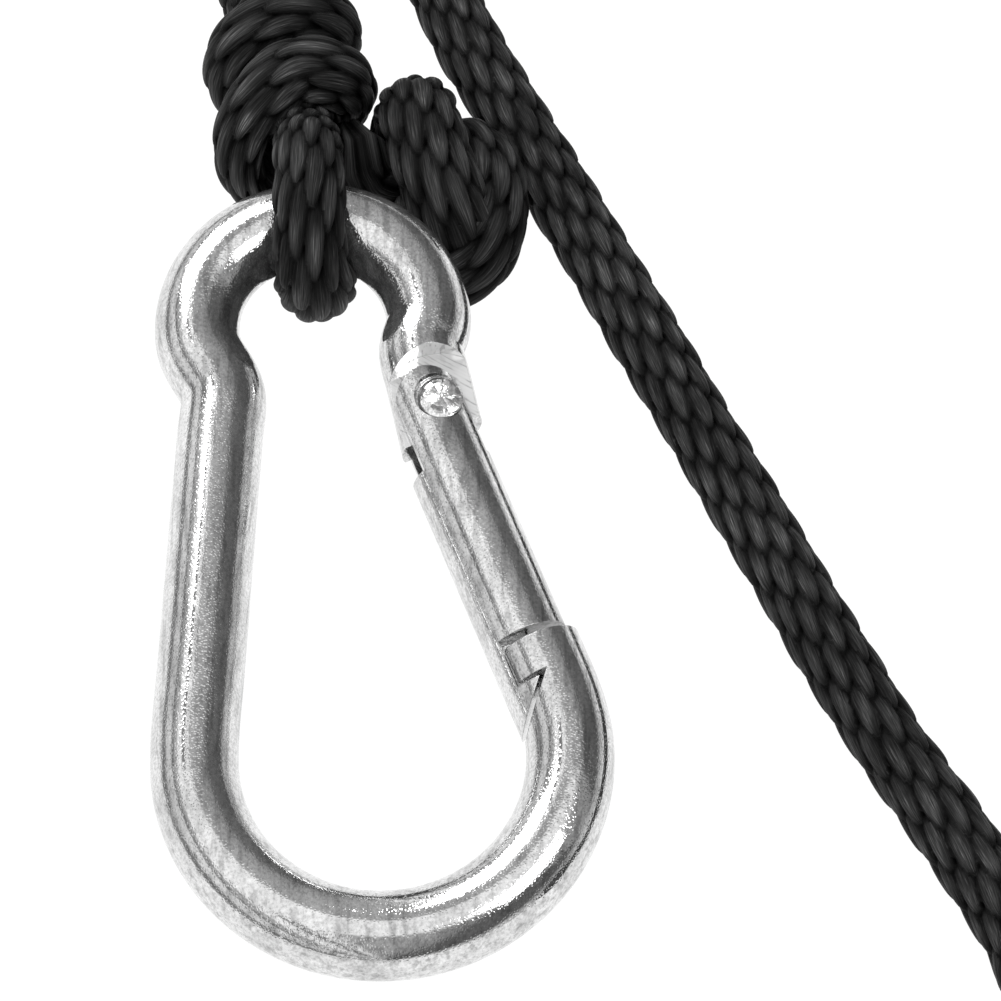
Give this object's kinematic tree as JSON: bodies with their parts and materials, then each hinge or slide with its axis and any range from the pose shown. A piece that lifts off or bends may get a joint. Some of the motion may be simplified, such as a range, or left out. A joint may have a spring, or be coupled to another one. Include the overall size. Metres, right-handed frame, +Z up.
{
  "type": "swing hanging rope with snap hook",
  "caption": "Black braided hanging rope for a swing, looped and knotted through the eye of a zinc-plated spring snap hook, its spare length in a tied coil.",
  "frame": {"origin": "on the surface that the part lies on, below the middle of the hook's outline", "axes": "+Y along the hook from its bow to its eye, +X from the hook's long limb to its gate, +Z up from the surface"},
  "size_m": [0.0904, 0.2415, 0.0229],
  "materials": {
    "zinc_plate": "bright zinc plating with fine handling marks",
    "rivet_steel": "peened and zinc plated",
    "spring_steel": "drawn spring wire",
    "black_braid": "solid-braided synthetic fibre",
    "black_strap": "hook-and-loop strap"
  },
  "bodies": {
    "rope": {"rope_eye_loop": "black_braid", "main_knot": "black_braid", "tail_knot": "black_braid", "standing_run": "black_braid", "rope_coil": "black_braid", "coil_tie": "black_strap", "free_run": "black_braid", "stopper_knot": "black_braid", "rope_end": "black_braid"},
    "hook": {"hook_body": "zinc_plate"},
    "gate_arm": {"gate": "zinc_plate", "hinge_rivet": "rivet_steel", "gate_spring": "spring_steel"},
    "plunger": {"spring_plunger": "spring_steel"}
  },
  "joints": [
    {"name": "hook_swing", "type": "hinge", "parent": "rope", "child": "hook", "pos_m": [-0.00646, 0.03538, 0.01194], "axis": [-1, 0, 0], "range_deg": [0, 45]},
    {"name": "gate_hinge", "type": "hinge", "parent": "hook", "child": "gate_arm", "pos_m": [0.0056, 0.01568, 0.00973], "axis": [0, 0.1115, -0.9938], "range_deg": [0, 22], "stiffness_Nm_per_rad": 0.08, "springref_deg": -20.05},
    {"name": "plunger_slide", "type": "slide", "parent": "gate_arm", "child": "plunger", "axis": [0.3689, -0.9237, -0.1036], "range_m": [0, 0.0015]}
  ],
  "couplings": [
    {"joint": "plunger_slide", "follows": "gate_hinge", "m_per_rad": 0.0032}
  ]
}
